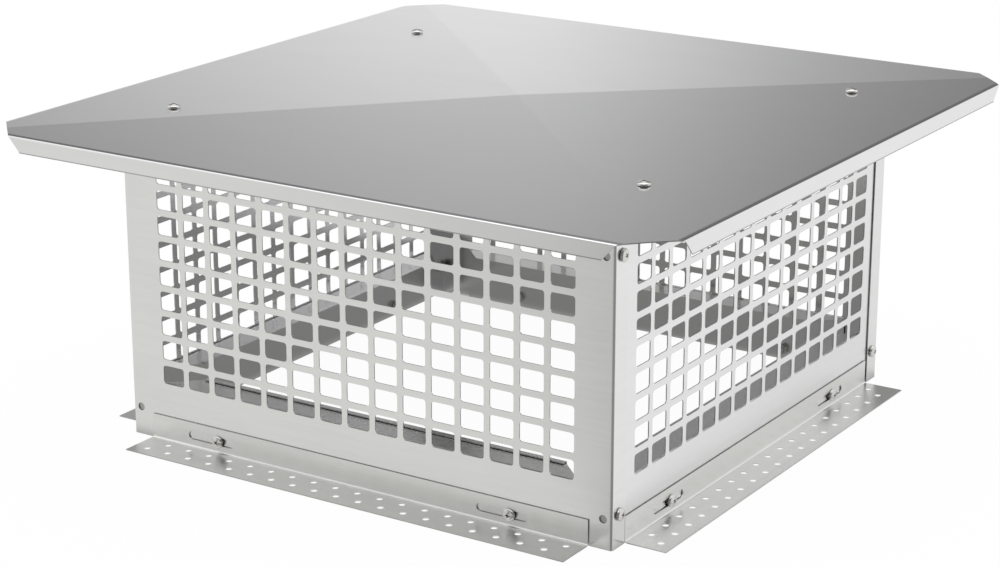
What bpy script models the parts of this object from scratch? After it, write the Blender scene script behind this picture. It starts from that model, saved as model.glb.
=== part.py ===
"""A square chimney cap of folded stainless sheet.

Four perforated panels make an open box that goes over a flue. A shallow pyramid lid is screwed to the
side panels, and four slotted angle brackets stand round the foot. Lengths are in metres and +Z is up.
The origin is the middle of the base, the front panel faces -Y and the right panel faces +X.
"""

import math

import bmesh
import bpy
from mathutils import Matrix, Vector

# Sheet and clearances
SHEET = 0.0008
SEAT_GAP = 0.0003
PANEL_BEND = 0.0010

# Box
BOX_SIDE = 0.4332
CORNER_FLANGE = 0.0175
TUCKED_FLANGE = 0.0150
TOP_FLANGE = 0.0180
TOP_FLANGE_INSET = 0.0030

# Punched mesh in each panel
HOLE_WIDTH = 0.020
HOLE_HEIGHT = 0.015
HOLE_PITCH_ACROSS = 0.025
HOLE_PITCH_UP = 0.020
MESH_CLEAR_OF_LEDGE = 0.0005
SOLID_BAND = 0.025

# Return and ledge folded up inside the foot of each panel
LEDGE_HEIGHT = 0.046
LEDGE_DEPTH = 0.0245
LEDGE_MARGIN = 0.0025
RETURN_GAP = 0.0010
HEM_WIDTH = 0.0045
HEM_GAP = 0.0004

# Lid
LID_OVERHANG = 0.0764
LID_FOLD_HEIGHT = 0.250
LID_RISE = 0.0058
LID_CORNER_CUT = 0.029
LID_BEND = 0.0020
RIM_DROP = 0.0125
RIM_TAPER = 0.010

# Brackets
BRACKET_END_GAP = 0.0019
BRACKET_UP = 0.020
BRACKET_OUT = 0.034
SLOT_LENGTH = 0.0440
SLOT_WIDTH = 0.0064
SLOT_SPREAD = 0.0005
PERFORATION = 0.0052
PERFORATION_PITCH = 0.020
PERFORATION_STAGGER = 0.010
INNER_ROW = 0.0100
ROW_SPACING = 0.0131

# Fasteners
SHANK_DIAMETER = 0.0046
SHANK_CLEARANCE = 0.0010
HEAD_DIAMETER = 0.0100
HEAD_HEIGHT = 0.0030
SCREW_LENGTH = 0.0105
NUT_ACROSS_FLATS = 0.0080
NUT_HEIGHT = 0.0040
CORNER_SCREW_INSET = 0.0094
CORNER_SCREW_LOW = 0.025
BRACKET_BOLT_SPACING = 0.2650
BRACKET_BOLT_HEIGHT = 0.0095
LID_SCREW_INSET = 0.0075
LID_SCREW_SPACING = 0.330
SPARE_HOLE = 0.0064
SPARE_HOLE_INSET = 0.0075
SPARE_HOLE_LOW = 0.0227

# Finishes, as the colour and roughness of the metal
LID_FINISH = ((0.64, 0.64, 0.645), 0.34)
WIDE_PANEL_FINISH = ((0.61, 0.62, 0.59), 0.34)
SIDE_PANEL_FINISH = ((0.65, 0.65, 0.65), 0.34)
BRACKET_FINISH = ((0.56, 0.56, 0.53), 0.32)
SCREW_FINISH = ((0.72, 0.71, 0.68), 0.18)
NUT_FINISH = ((0.60, 0.59, 0.56), 0.25)

# Facets of round shapes
HOLE_SIDES = 6
SCREW_SIDES = 8
SLOT_SIDES = 12

# Two points closer than this are the same point
NEAR = 0.000001

X, Y, Z = range(3)

# Places that follow from the sizes above
FRONT_FACE = BOX_SIDE / 2
SIDE_FACE = FRONT_FACE - SHEET - SEAT_GAP
RETURN_FACE = 2 * SHEET + RETURN_GAP
LID_HALF = FRONT_FACE + LID_OVERHANG
BOLT_HOLE = SHANK_DIAMETER + SHANK_CLEARANCE
PUNCH_DEPTH = 4 * SHEET


def lid_height(distance):
    """The height of the lid's upper face at this distance from the middle, square to the nearest side."""
    return LID_FOLD_HEIGHT + LID_RISE * (1 - distance / LID_HALF)


PANEL_TOP = lid_height(FRONT_FACE) - SHEET - SEAT_GAP

# The mesh fills each panel with whole holes and leaves at least the solid band at its top and sides
FIRST_ROW_HEIGHT = LEDGE_HEIGHT + MESH_CLEAR_OF_LEDGE + HOLE_HEIGHT / 2
HIGHEST_ROW = PANEL_TOP - SOLID_BAND - HOLE_HEIGHT / 2
HOLE_ROWS = 1 + int((HIGHEST_ROW - FIRST_ROW_HEIGHT) / HOLE_PITCH_UP)
TOP_ROW_HEIGHT = FIRST_ROW_HEIGHT + (HOLE_ROWS - 1) * HOLE_PITCH_UP
HOLE_COLUMNS = 1 + 2 * int((FRONT_FACE - SOLID_BAND - HOLE_WIDTH / 2) / HOLE_PITCH_ACROSS)
MESH_HALF = (HOLE_COLUMNS - 1) * HOLE_PITCH_ACROSS / 2 + HOLE_WIDTH / 2
LEDGE_HALF = MESH_HALF + LEDGE_MARGIN

# The upper corner screws and spare holes line up with the top row of the mesh
CORNER_SCREW_HEIGHTS = (CORNER_SCREW_LOW, TOP_ROW_HEIGHT)
SPARE_HOLE_HEIGHTS = (SPARE_HOLE_LOW, TOP_ROW_HEIGHT)

# The brackets lie between the corner flanges. Their slots stand a little further apart than the bolts,
# and the rows of holes in the foot stop at least half a hole short of its ends.
BRACKET_LENGTH = BOX_SIDE - 2 * (CORNER_FLANGE + BRACKET_END_GAP)
SLOT_SPACING = BRACKET_BOLT_SPACING + SLOT_SPREAD
PERFORATION_COUNT = 1 + int((BRACKET_LENGTH - PERFORATION_STAGGER - 2 * PERFORATION) / PERFORATION_PITCH)


def clear_scene():
    for old in list(bpy.data.objects):
        bpy.data.objects.remove(old, do_unlink=True)


def new_collection(name):
    made = bpy.data.collections.new(name)
    bpy.context.scene.collection.children.link(made)
    return made


def steel(name, colour, roughness):
    """A stainless finish of its own for one piece."""
    material = bpy.data.materials.new(name)
    material.use_nodes = True
    shader = material.node_tree.nodes["Principled BSDF"]
    shader.inputs["Base Color"].default_value = (*colour, 1.0)
    shader.inputs["Metallic"].default_value = 1.0
    shader.inputs["Roughness"].default_value = roughness
    return material


def place(name, mesh, finish, turn=0.0):
    """Adds a part built in the frame of the front panel, turned about +Z to its own side."""
    part = bpy.data.objects.new(name, mesh)
    part.rotation_euler.z = turn
    part.data.materials.append(steel(name, *finish))
    parts.objects.link(part)
    return part


def place_cutter(name, mesh, turn=0.0):
    cutter = bpy.data.objects.new(name, mesh)
    cutter.rotation_euler.z = turn
    cutter.hide_render = True
    cutter.display_type = "WIRE"
    cutters.objects.link(cutter)
    return cutter


def punch(part, cutter):
    cut = part.modifiers.new("punch " + cutter.name, "BOOLEAN")
    cut.operation = "DIFFERENCE"
    cut.solver = "EXACT"
    cut.object = cutter


def mesh_from(work, name):
    mesh = bpy.data.meshes.new(name)
    work.to_mesh(mesh)
    work.free()
    return mesh


# Folding sheet


def flat_sheet(columns, low, high, y):
    """A flat rectangle facing -Y with an upright line of points at each x in columns."""
    work = bmesh.new()
    bmesh.ops.create_grid(work, x_segments=len(columns) - 1, y_segments=1, size=0.5)
    for point in work.verts:
        column = round((point.co.x + 0.5) * (len(columns) - 1))
        point.co = Vector((columns[column], y, high if point.co.y > 0 else low))
    return work


def open_edges(work, axis, value, half=math.inf):
    """The open edges that lie at this value of an axis, no further out along X than half."""
    return [
        edge
        for edge in work.edges
        if edge.is_boundary
        and all(abs(v.co[axis] - value) < NEAR and abs(v.co.x) < half + NEAR for v in edge.verts)
    ]


def fold_on(work, edges, move, taper=0.0):
    """Carries the sheet on from these edges by one more flat, and gives the edges it now ends in.

    A taper draws both ends in along the fold, as a mitre does.
    """
    made = bmesh.ops.extrude_edge_only(work, edges=edges)["geom"]
    points = [g for g in made if isinstance(g, bmesh.types.BMVert)]
    bmesh.ops.translate(work, verts=points, vec=move)
    along = max((points[0].co - p.co for p in points), key=lambda span: span.length).normalized()
    reach = [p.co.dot(along) for p in points]
    for point in points:
        if taper and point.co.dot(along) > max(reach) - PANEL_BEND:
            point.co -= along * taper
        elif taper and point.co.dot(along) < min(reach) + PANEL_BEND:
            point.co += along * taper
    return [g for g in made if isinstance(g, bmesh.types.BMEdge) and set(g.verts) <= set(points)]


def round_folds(work, edges, radius):
    bmesh.ops.bevel(work, geom=edges, offset=radius, segments=2, profile=0.5, affect="EDGES")


def face_the_sheet(work, outward):
    """Turns the whole sheet so that its first face looks outward."""
    bmesh.ops.recalc_face_normals(work, faces=work.faces)
    work.faces.ensure_lookup_table()
    widest = max(work.faces, key=lambda face: face.calc_area())
    if widest.normal.dot(outward) < 0:
        bmesh.ops.reverse_faces(work, faces=work.faces)


def thicken(part):
    """Gives the folded surface its thickness, on the side away from its normals."""
    wall = part.modifiers.new("sheet", "SOLIDIFY")
    wall.thickness = SHEET
    wall.offset = -1
    wall.use_even_offset = True
    wall.use_quality_normals = True


# Panels


def panel_mesh(name, face, flange, top_flange):
    """One panel: its face, a flange down each upright edge, the return and ledge inside its foot.

    face is how far its outer face stands from the middle of the box.
    """
    top_half = face - TOP_FLANGE_INSET
    columns = [-face, -top_half, -LEDGE_HALF, LEDGE_HALF, top_half, face]
    work = flat_sheet(columns, 0.0, PANEL_TOP, -face)
    folds = []
    for side in (-1, 1):
        upright = open_edges(work, X, side * face)
        folds += upright
        fold_on(work, upright, Vector((0, flange, 0)))
    foot = open_edges(work, Z, 0.0, LEDGE_HALF)
    folds += foot
    inside = fold_on(work, foot, Vector((0, RETURN_FACE, 0)))
    folds += inside
    shelf = fold_on(work, inside, Vector((0, 0, LEDGE_HEIGHT - SHEET)))
    folds += shelf
    edge = fold_on(work, shelf, Vector((0, LEDGE_DEPTH, 0)), taper=LEDGE_DEPTH)
    lip = fold_on(work, edge, Vector((0, 0, 2 * SHEET + HEM_GAP)))
    fold_on(work, lip, Vector((0, -HEM_WIDTH, 0)))
    if top_flange:
        head = open_edges(work, Z, PANEL_TOP, top_half)
        folds += head
        fold_on(work, head, Vector((0, top_flange, 0)), taper=top_flange)
    round_folds(work, folds, PANEL_BEND)
    face_the_sheet(work, Vector((0, -1, 0)))
    return mesh_from(work, name)


def mesh_punch(name, face, turn):
    """Cuts the rectangular holes: one block, repeated across and up."""
    bpy.ops.mesh.primitive_cube_add(size=1)
    block = bpy.context.object
    mesh = block.data
    bpy.data.objects.remove(block)
    first_column = -(HOLE_COLUMNS - 1) * HOLE_PITCH_ACROSS / 2
    size = Matrix.Diagonal((HOLE_WIDTH, PUNCH_DEPTH, HOLE_HEIGHT, 1))
    centre = Vector((first_column, -face + SHEET / 2, FIRST_ROW_HEIGHT))
    mesh.transform(Matrix.Translation(centre) @ size)
    cutter = place_cutter(name, mesh, turn)
    for label, count, step in (
        ("across", HOLE_COLUMNS, (HOLE_PITCH_ACROSS, 0, 0)),
        ("up", HOLE_ROWS, (0, 0, HOLE_PITCH_UP)),
    ):
        repeat = cutter.modifiers.new(label, "ARRAY")
        repeat.use_relative_offset = False
        repeat.use_constant_offset = True
        repeat.constant_offset_displace = step
        repeat.count = count
    return cutter


def round_punch(name, holes, turn):
    """Cuts round holes. Each is (centre, axis, diameter, depth)."""
    work = bmesh.new()
    for centre, axis, diameter, depth in holes:
        turned = Vector((0, 0, 1)).rotation_difference(Vector(axis)).to_matrix().to_4x4()
        bmesh.ops.create_cone(
            work,
            cap_ends=True,
            segments=HOLE_SIDES,
            radius1=diameter / 2,
            radius2=diameter / 2,
            depth=depth,
            matrix=Matrix.Translation(Vector(centre)) @ turned,
        )
    return place_cutter(name, mesh_from(work, name), turn)


def bolt_hole(centre, axis, depth=PUNCH_DEPTH):
    return centre, axis, BOLT_HOLE, depth


def spare_holes(x, y, axis):
    """Empty holes near an upright edge, one above the other."""
    return [((x, y, height), axis, SPARE_HOLE, PUNCH_DEPTH) for height in SPARE_HOLE_HEIGHTS]


def bracket_bolt_holes(face):
    """Holes for the two bracket bolts, through the panel and its return."""
    middle = -face + RETURN_FACE / 2
    return [
        bolt_hole((side * BRACKET_BOLT_SPACING / 2, middle, BRACKET_BOLT_HEIGHT), (0, 1, 0), 3 * RETURN_FACE)
        for side in (-1, 1)
    ]


def make_wide_panel(name, turn):
    """The front or back panel, whose flanges lap over the outside of the side panels."""
    mesh = panel_mesh(name, FRONT_FACE, CORNER_FLANGE, top_flange=0)
    panel = place(name, mesh, WIDE_PANEL_FINISH, turn)
    thicken(panel)
    punch(panel, mesh_punch(name + "_mesh_punch", FRONT_FACE, turn))
    holes = bracket_bolt_holes(FRONT_FACE)
    for side in (-1, 1):
        for height in CORNER_SCREW_HEIGHTS:
            holes.append(bolt_hole((side * FRONT_FACE, -FRONT_FACE + CORNER_SCREW_INSET, height), (1, 0, 0)))
        holes += spare_holes(side * (FRONT_FACE - SPARE_HOLE_INSET), -FRONT_FACE, (0, 1, 0))
    punch(panel, round_punch(name + "_hole_punch", holes, turn))
    return panel


def make_side_panel(name, turn, rear):
    """The left or right panel, tucked inside the flanges of the wide ones. It carries the lid.

    rear is the local side, -1 or 1, that lies against the back panel. Its flange has the spare holes.
    """
    mesh = panel_mesh(name, SIDE_FACE, TUCKED_FLANGE, TOP_FLANGE)
    panel = place(name, mesh, SIDE_PANEL_FINISH, turn)
    thicken(panel)
    holes = bracket_bolt_holes(SIDE_FACE)
    lid_hole_y = -SIDE_FACE + LID_SCREW_INSET
    for side in (-1, 1):
        for height in CORNER_SCREW_HEIGHTS:
            holes.append(bolt_hole((side * (FRONT_FACE - CORNER_SCREW_INSET), -SIDE_FACE, height), (0, 1, 0)))
        holes.append(bolt_hole((side * LID_SCREW_SPACING / 2, lid_hole_y, PANEL_TOP), (0, 0, 1)))
    holes += spare_holes(rear * SIDE_FACE, -FRONT_FACE + SPARE_HOLE_INSET, (1, 0, 0))
    punch(panel, round_punch(name + "_hole_punch", holes, turn))
    punch(panel, mesh_punch(name + "_mesh_punch", SIDE_FACE, turn))
    return panel


# Lid


def make_lid():
    """A square sheet with its corners cut, its middle raised and its four sides folded down."""
    work = bmesh.new()
    bmesh.ops.create_grid(work, x_segments=1, y_segments=1, size=LID_HALF)
    bmesh.ops.bevel(work, geom=work.verts[:], offset=LID_CORNER_CUT, segments=1, affect="VERTICES")
    bmesh.ops.translate(work, verts=work.verts[:], vec=(0, 0, LID_FOLD_HEIGHT))
    sides = [edge for axis in (X, Y) for side in (-1, 1) for edge in open_edges(work, axis, side * LID_HALF)]
    corners = [edge for edge in work.edges if edge not in sides]
    bmesh.ops.subdivide_edges(work, edges=corners, cuts=1)
    bmesh.ops.poke(work, faces=work.faces[:])
    for point in work.verts:
        point.co.z = lid_height(max(abs(point.co.x), abs(point.co.y)))
    for side in sides:
        fold_on(work, [side], Vector((0, 0, -RIM_DROP)), taper=RIM_TAPER)
    round_folds(work, sides, LID_BEND)
    face_the_sheet(work, Vector((0, 0, 1)))
    lid = place("lid", mesh_from(work, "lid"), LID_FINISH)
    thicken(lid)
    holes = [bolt_hole((x, y, lid_height(abs(x))), (0, 0, 1)) for x, y in lid_screw_places()]
    punch(lid, round_punch("lid_hole_punch", holes, 0.0))
    return lid


def lid_screw_places():
    return [
        (x * (SIDE_FACE - LID_SCREW_INSET), y * LID_SCREW_SPACING / 2) for x in (-1, 1) for y in (-1, 1)
    ]


# Brackets


def slot_punch_mesh(name, centres, y, z):
    """Cuts long slots with round ends: each is a cylinder drawn out along X."""
    work = bmesh.new()
    for centre in centres:
        made = bmesh.ops.create_cone(
            work,
            cap_ends=True,
            segments=SLOT_SIDES,
            radius1=SLOT_WIDTH / 2,
            radius2=SLOT_WIDTH / 2,
            depth=PUNCH_DEPTH,
            matrix=Matrix.Rotation(math.pi / 2, 4, "X") @ Matrix.Rotation(math.pi / SLOT_SIDES, 4, "Z"),
        )
        stretch = (SLOT_LENGTH - SLOT_WIDTH) / 2
        for point in made["verts"]:
            point.co.x += math.copysign(stretch, point.co.x) + centre
            point.co.y += y
            point.co.z += z
    return mesh_from(work, name)


def make_bracket(name, face, turn, slide, slot_shift):
    """An angle of sheet with slots in its upright leg and two rows of holes in its flat leg.

    slide is how far it was pushed along the panel before its bolts were tightened, and slot_shift is
    how far the pair of slots stands from its middle.
    """
    back = face + SEAT_GAP
    half = BRACKET_LENGTH / 2
    work = flat_sheet([slide - half, slide + half], 0.0, BRACKET_UP, -back)
    foot = open_edges(work, Z, 0.0)
    fold_on(work, foot, Vector((0, -BRACKET_OUT, 0)))
    round_folds(work, foot, PANEL_BEND)
    face_the_sheet(work, Vector((0, 0, -1)))
    bracket = place(name, mesh_from(work, name), BRACKET_FINISH, turn)
    thicken(bracket)
    centres = [slide + slot_shift + side * SLOT_SPACING / 2 for side in (-1, 1)]
    slots = slot_punch_mesh(name + "_slot_punch", centres, -back - SHEET / 2, BRACKET_BOLT_HEIGHT)
    punch(bracket, place_cutter(name + "_slot_punch", slots, turn))
    first = slide - (PERFORATION_COUNT - 1) * PERFORATION_PITCH / 2
    rows = ((INNER_ROW, PERFORATION_STAGGER / 2), (INNER_ROW + ROW_SPACING, -PERFORATION_STAGGER / 2))
    holes = [
        ((first + i * PERFORATION_PITCH + shift, -back - out, SHEET / 2), (0, 0, 1), PERFORATION, PUNCH_DEPTH)
        for out, shift in rows
        for i in range(PERFORATION_COUNT)
    ]
    punch(bracket, round_punch(name + "_perforation_punch", holes, turn))
    return bracket


# Fasteners


def turned_mesh(name, profile, sides):
    """A profile of (radius, height) points, turned about +Z."""
    outline = bpy.data.meshes.new(name + "_outline")
    points = [(radius, 0, height) for radius, height in profile]
    outline.from_pydata(points, [(i, i + 1) for i in range(len(points) - 1)], [])
    guide = bpy.data.objects.new(name + "_guide", outline)
    cutters.objects.link(guide)
    turn = guide.modifiers.new("turn", "SCREW")
    turn.steps = turn.render_steps = sides
    turn.use_merge_vertices = True
    turn.merge_threshold = 0.00001
    graph = bpy.context.evaluated_depsgraph_get()
    mesh = bpy.data.meshes.new_from_object(guide.evaluated_get(graph))
    bpy.data.objects.remove(guide)
    mesh.name = name
    mesh.shade_smooth()
    mesh.set_sharp_from_angle(angle=math.radians(40))
    return mesh


def screw_mesh():
    """A pan head with its seat at the origin, and its shank going down."""
    head = HEAD_DIAMETER / 2
    shank = SHANK_DIAMETER / 2
    profile = [
        (0, HEAD_HEIGHT),
        (0.72 * head, 0.74 * HEAD_HEIGHT),
        (head, 0.25 * HEAD_HEIGHT),
        (head, 0),
        (shank, 0),
        (shank, -SCREW_LENGTH),
        (0, -SCREW_LENGTH),
    ]
    return turned_mesh("pan_head_screw", profile, SCREW_SIDES)


def nut_mesh():
    """A hexagon nut with its seat at the origin, going down. Its bore clears the shank."""
    corner = NUT_ACROSS_FLATS / 2 / math.cos(math.pi / 6)
    bore = BOLT_HOLE / 2 / math.cos(math.pi / 6)
    profile = [(corner, 0), (corner, -NUT_HEIGHT), (bore, -NUT_HEIGHT), (bore, 0), (corner, 0)]
    return turned_mesh("hexagon_nut", profile, 6)


def place_fastener(name, mesh, finish, seat, outward):
    """Adds a screw or nut whose own +Z looks outward from its seat."""
    part = place(name, mesh.copy(), finish)
    turned = Vector((0, 0, 1)).rotation_difference(Vector(outward)).to_matrix().to_4x4()
    part.matrix_world = Matrix.Translation(Vector(seat)) @ turned
    return part


def make_fasteners():
    screw = screw_mesh()
    nut = nut_mesh()

    def fasten(name, number, head_seat, nut_seat, outward):
        place_fastener(f"{name}_screw_{number}", screw, SCREW_FINISH, head_seat, outward)
        place_fastener(f"{name}_nut_{number}", nut, NUT_FINISH, nut_seat, outward)

    head_x = FRONT_FACE + SEAT_GAP
    nut_x = SIDE_FACE - SHEET - SEAT_GAP
    y = FRONT_FACE - CORNER_SCREW_INSET
    corners = [(x, side * y, z) for x in (-1, 1) for side in (-1, 1) for z in CORNER_SCREW_HEIGHTS]
    for number, (x, y, z) in enumerate(corners, 1):
        fasten("corner", number, (x * head_x, y, z), (x * nut_x, y, z), (x, 0, 0))

    number = 0
    for face, turn in SIDES.values():
        turned = Matrix.Rotation(turn, 3, "Z")
        outward = turned @ Vector((0, -1, 0))
        for side in (-1, 1):
            number += 1
            axis = turned @ Vector((side * BRACKET_BOLT_SPACING / 2, 0, BRACKET_BOLT_HEIGHT))
            head_seat = axis + outward * (face + 2 * SEAT_GAP + SHEET)
            fasten("bracket", number, head_seat, axis + outward * (face - RETURN_FACE - SEAT_GAP), outward)

    under = PANEL_TOP - SHEET - SEAT_GAP
    for number, (x, y) in enumerate(lid_screw_places(), 1):
        over = lid_height(abs(x) - HEAD_DIAMETER / 2) + SEAT_GAP
        fasten("lid", number, (x, y, over), (x, y, under), (0, 0, 1))


# The four sides: how far each panel's face stands from the middle, and how it is turned from the front.
SIDES = {
    "front": (FRONT_FACE, 0.0),
    "right": (SIDE_FACE, math.pi / 2),
    "back": (FRONT_FACE, math.pi),
    "left": (SIDE_FACE, -math.pi / 2),
}

# Each bracket's slide along its panel and the shift of its slots.
BRACKETS = {
    "front": (0.0004, -0.0070),
    "right": (-0.0015, -0.0018),
    "back": (0.0, -0.0070),
    "left": (0.0, -0.0018),
}

clear_scene()
parts = new_collection("chimney_cap")
cutters = new_collection("cutters")
make_wide_panel("front_panel", SIDES["front"][1])
make_wide_panel("back_panel", SIDES["back"][1])
make_side_panel("right_panel", SIDES["right"][1], rear=1)
make_side_panel("left_panel", SIDES["left"][1], rear=-1)
make_lid()
for side, (face, turn) in SIDES.items():
    make_bracket(side + "_bracket", face, turn, *BRACKETS[side])
make_fasteners()
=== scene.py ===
"""Dresses the chimney cap: folded stainless sheet, slotted brackets, screws and nuts, in a white studio."""

import math

import bmesh
import bpy
import numpy as np
from mathutils import Matrix, Vector


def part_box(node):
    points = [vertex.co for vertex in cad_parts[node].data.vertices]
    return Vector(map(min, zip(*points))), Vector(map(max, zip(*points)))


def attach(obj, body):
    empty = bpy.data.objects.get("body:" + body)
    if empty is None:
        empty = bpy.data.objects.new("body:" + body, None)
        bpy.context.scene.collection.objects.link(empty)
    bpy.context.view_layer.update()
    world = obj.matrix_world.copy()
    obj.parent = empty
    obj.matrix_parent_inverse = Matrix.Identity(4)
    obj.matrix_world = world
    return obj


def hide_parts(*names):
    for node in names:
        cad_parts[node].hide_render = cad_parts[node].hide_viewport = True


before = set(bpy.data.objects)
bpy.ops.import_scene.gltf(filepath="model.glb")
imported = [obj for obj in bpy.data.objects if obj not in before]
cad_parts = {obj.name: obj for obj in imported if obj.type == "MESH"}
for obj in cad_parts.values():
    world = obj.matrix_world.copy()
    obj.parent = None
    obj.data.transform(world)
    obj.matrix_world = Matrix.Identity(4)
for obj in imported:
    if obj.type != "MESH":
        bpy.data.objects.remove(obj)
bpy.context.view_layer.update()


# Front and back panels. Each is one stainless sheet, punched with rows of rounded holes, with a flange
# folded back along both upright edges that laps over a side panel. The foot is folded in and up behind the
# face, and ends in a mitred ledge whose lip is hemmed.
SHEET = 0.0008
PANEL_BEND = 0.0010
CORNER_BEND = 0.0018
BEND_STEPS = 6
NEAR = 0.000001
FRONT_FACE = -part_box("front_panel")[0].y
PANEL_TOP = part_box("front_panel")[1].z
CORNER_FLANGE = 0.0175
TOP_CORNER_RELIEF = 0.0030
RETURN_GAP = 0.0010
RETURN_FACE = 2 * SHEET + RETURN_GAP
LEDGE_HEIGHT = 0.046
LEDGE_DEPTH = 0.0245
LEDGE_MARGIN = 0.0025
HEM_WIDTH = 0.0045
HEM_GAP = 0.0004
MESH_COLUMNS = 15
MESH_ROWS = 9
MESH_HOLE = (0.020, 0.015)
MESH_PITCH = (0.025, 0.020)
MESH_FIRST_ROW = 0.054
MESH_CORNER = 0.00235
MESH_CORNER_STEPS = 5
LEDGE_HALF = ((MESH_COLUMNS - 1) * MESH_PITCH[0] + MESH_HOLE[0]) / 2 + LEDGE_MARGIN
PUNCH_DEPTH = 4 * SHEET
ROUND_SHARE = 0.499
BOLT_HOLE = 0.0056
BOLT_SPACING = 0.2650
BOLT_HEIGHT = 0.0095
CORNER_SCREW_INSET = 0.0094
CORNER_SCREW_HEIGHTS = (0.025, 0.214)
SPARE_HOLE = 0.0064
SPARE_HOLE_INSET = 0.0075
SPARE_HOLE_HEIGHTS = (0.0227, 0.214)
TURNS = {"front": 0.0, "right": math.pi / 2, "back": math.pi, "left": -math.pi / 2}


def flat_sheet(columns, low, high, y):
    """A flat rectangle facing -Y with an upright line of points at each x in columns."""
    work = bmesh.new()
    bmesh.ops.create_grid(work, x_segments=len(columns) - 1, y_segments=1, size=0.5)
    for point in work.verts:
        column = round((point.co.x + 0.5) * (len(columns) - 1))
        point.co = Vector((columns[column], y, high if point.co.y > 0 else low))
    return work


def open_edges(work, axis, value, half=math.inf):
    """The open edges that lie at this value of an axis, no further out along X than half."""
    return [
        edge
        for edge in work.edges
        if edge.is_boundary
        and all(abs(end.co[axis] - value) < NEAR and abs(end.co.x) < half + NEAR for end in edge.verts)
    ]


def fold_on(work, edges, move, taper=0.0):
    """Carries the sheet on from these edges by one more flat, and gives the edges that it now ends in."""
    made = bmesh.ops.extrude_edge_only(work, edges=edges)["geom"]
    points = [part for part in made if isinstance(part, bmesh.types.BMVert)]
    bmesh.ops.translate(work, verts=points, vec=move)
    spans = [points[0].co - point.co for point in points]
    along = max(spans, key=lambda span: span.length).normalized()
    reach = [point.co.dot(along) for point in points]
    for point in points:
        if taper and point.co.dot(along) > max(reach) - PANEL_BEND:
            point.co -= along * taper
        elif taper and point.co.dot(along) < min(reach) + PANEL_BEND:
            point.co += along * taper
    edges = [part for part in made if isinstance(part, bmesh.types.BMEdge)]
    return [edge for edge in edges if set(edge.verts) <= set(points)]


def round_folds(work, edges, radius):
    bmesh.ops.bevel(work, geom=edges, offset=radius, segments=BEND_STEPS, profile=0.5, affect="EDGES")


def mesh_of(work, name):
    mesh = bpy.data.meshes.new(name)
    work.to_mesh(mesh)
    work.free()
    return mesh


def faced_sheet(work, outward, name):
    """Turns the whole sheet so that its widest flat looks outward, and gives it as a mesh."""
    bmesh.ops.recalc_face_normals(work, faces=work.faces)
    widest = max(work.faces, key=lambda flat: flat.calc_area())
    if widest.normal.dot(outward) < 0:
        bmesh.ops.reverse_faces(work, faces=work.faces)
    return mesh_of(work, name)


def folded_panel(name, face, flange, top_flange, corner_bend):
    """The open surface of one panel, whose outer face stands this far in front of the middle of the box."""
    top_half = face - TOP_CORNER_RELIEF
    columns = [-face, -top_half, -LEDGE_HALF, LEDGE_HALF, top_half, face]
    work = flat_sheet(columns, 0.0, PANEL_TOP, -face)
    uprights = []
    for side in (-1, 1):
        upright = open_edges(work, 0, side * face)
        uprights += upright
        fold_on(work, upright, Vector((0, flange, 0)))
    foot = open_edges(work, 2, 0.0, LEDGE_HALF)
    inside = fold_on(work, foot, Vector((0, RETURN_FACE, 0)))
    shelf = fold_on(work, inside, Vector((0, 0, LEDGE_HEIGHT - SHEET)))
    edge = fold_on(work, shelf, Vector((0, LEDGE_DEPTH, 0)), taper=LEDGE_DEPTH)
    lip = fold_on(work, edge, Vector((0, 0, 2 * SHEET + HEM_GAP)))
    fold_on(work, lip, Vector((0, -HEM_WIDTH, 0)))
    folds = foot + inside + shelf
    if top_flange:
        head = open_edges(work, 2, PANEL_TOP, top_half)
        folds += head
        fold_on(work, head, Vector((0, top_flange, 0)), taper=top_flange)
    round_folds(work, folds, PANEL_BEND)
    round_folds(work, uprights, corner_bend)
    return faced_sheet(work, Vector((0, -1, 0)), name)


def new_tree(name, kind, inputs, outputs):
    """A node tree with named sockets. Gives the tree, its input node and its output node."""
    tree = bpy.data.node_groups.new(name, kind)
    for in_out, sockets in (("INPUT", inputs), ("OUTPUT", outputs)):
        for label, socket in sockets:
            tree.interface.new_socket(label, in_out=in_out, socket_type="NodeSocket" + socket)
    return tree, tree.nodes.new("NodeGroupInput"), tree.nodes.new("NodeGroupOutput")


def add_node(tree, kind, settings=None, **inputs):
    """A node with these settings.

    Each input is a value or another node's socket. It goes by its name, with _ for a space, or by n and its
    number.
    """
    node = tree.nodes.new(kind)
    for label, value in (settings or {}).items():
        setattr(node, label, value)
    for label, value in inputs.items():
        by_number = label[0] == "n" and label[1:].isdigit()
        socket = node.inputs[int(label[1:]) if by_number else label.replace("_", " ")]
        if isinstance(value, bpy.types.NodeSocket):
            tree.links.new(value, socket)
        else:
            socket.default_value = value
    return node


def arithmetic(tree, operation, first, second=0.0, third=0.0):
    sums = add_node(tree, "ShaderNodeMath", {"operation": operation}, n0=first, n1=second, n2=third)
    return sums.outputs[0]


def blend(tree, share, first, second):
    """Goes from the first value to the second as the share goes from 0 to 1."""
    return add_node(tree, "ShaderNodeMix", {"data_type": "FLOAT"}, n0=share, n2=first, n3=second).outputs[0]


def blend_colours(tree, share, first, second):
    return add_node(tree, "ShaderNodeMix", {"data_type": "RGBA"}, n0=share, n6=first, n7=second).outputs[2]


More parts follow.
